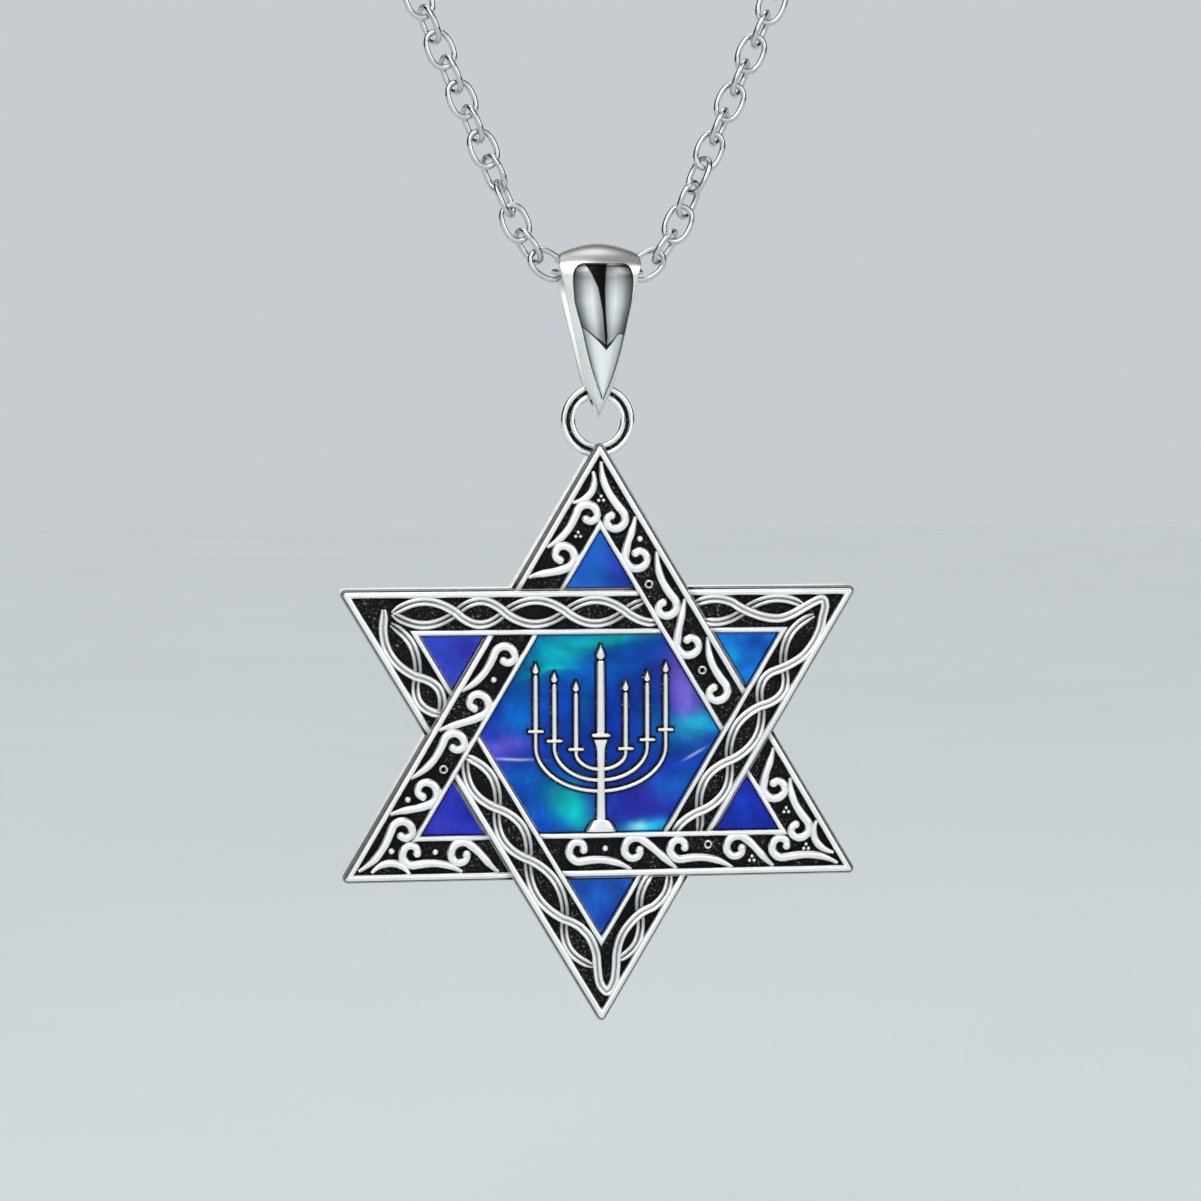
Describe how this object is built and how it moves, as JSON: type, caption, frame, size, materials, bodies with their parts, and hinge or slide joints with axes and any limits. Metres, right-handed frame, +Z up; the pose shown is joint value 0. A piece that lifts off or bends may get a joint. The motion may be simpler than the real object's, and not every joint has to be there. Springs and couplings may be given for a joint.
{
  "type": "star of david pendant on a chain",
  "caption": "Silver star of two laced triangles with raised scrolls, blue inlays and a menorah, hanging from a loop bail on a cable chain.",
  "frame": {"origin": "middle of the neck ring that the chain makes, where the neck goes through", "axes": "+Z up along the neck, -Y the way the star faces, +X to the viewer's right"},
  "size_m": [0.0986, 0.1129, 0.1734],
  "materials": {
    "chain_silver": "polished",
    "bail_silver": "mirror polished",
    "star_silver": "polished relief over a blackened ground",
    "menorah_silver": "polished",
    "inlay_centre": "glossy",
    "inlay_top": "glossy",
    "inlay_bottom": "glossy",
    "inlay_upper_left": "glossy",
    "inlay_upper_right": "glossy",
    "inlay_lower_left": "glossy",
    "inlay_lower_right": "glossy"
  },
  "bodies": {
    "chain": {"chain_front": "chain_silver", "chain_back": "chain_silver", "clasp": "chain_silver"},
    "bail": {"bail": "bail_silver"},
    "star": {"star_frame": "star_silver", "menorah": "menorah_silver", "inlay_centre": "inlay_centre", "inlay_top": "inlay_top", "inlay_bottom": "inlay_bottom", "inlay_upper_left": "inlay_upper_left", "inlay_upper_right": "inlay_upper_right", "inlay_lower_left": "inlay_lower_left", "inlay_lower_right": "inlay_lower_right"}
  },
  "joints": [
    {"name": "bail_swing", "type": "hinge", "parent": "chain", "child": "bail", "pos_m": [0, -0.052, -0.118], "axis": [1, 0, 0], "range_deg": [-90, 90]},
    {"name": "star_swing", "type": "hinge", "parent": "bail", "child": "star", "pos_m": [0, -0.052, -0.12284], "axis": [1, 0, 0], "range_deg": [-60, 60]}
  ]
}
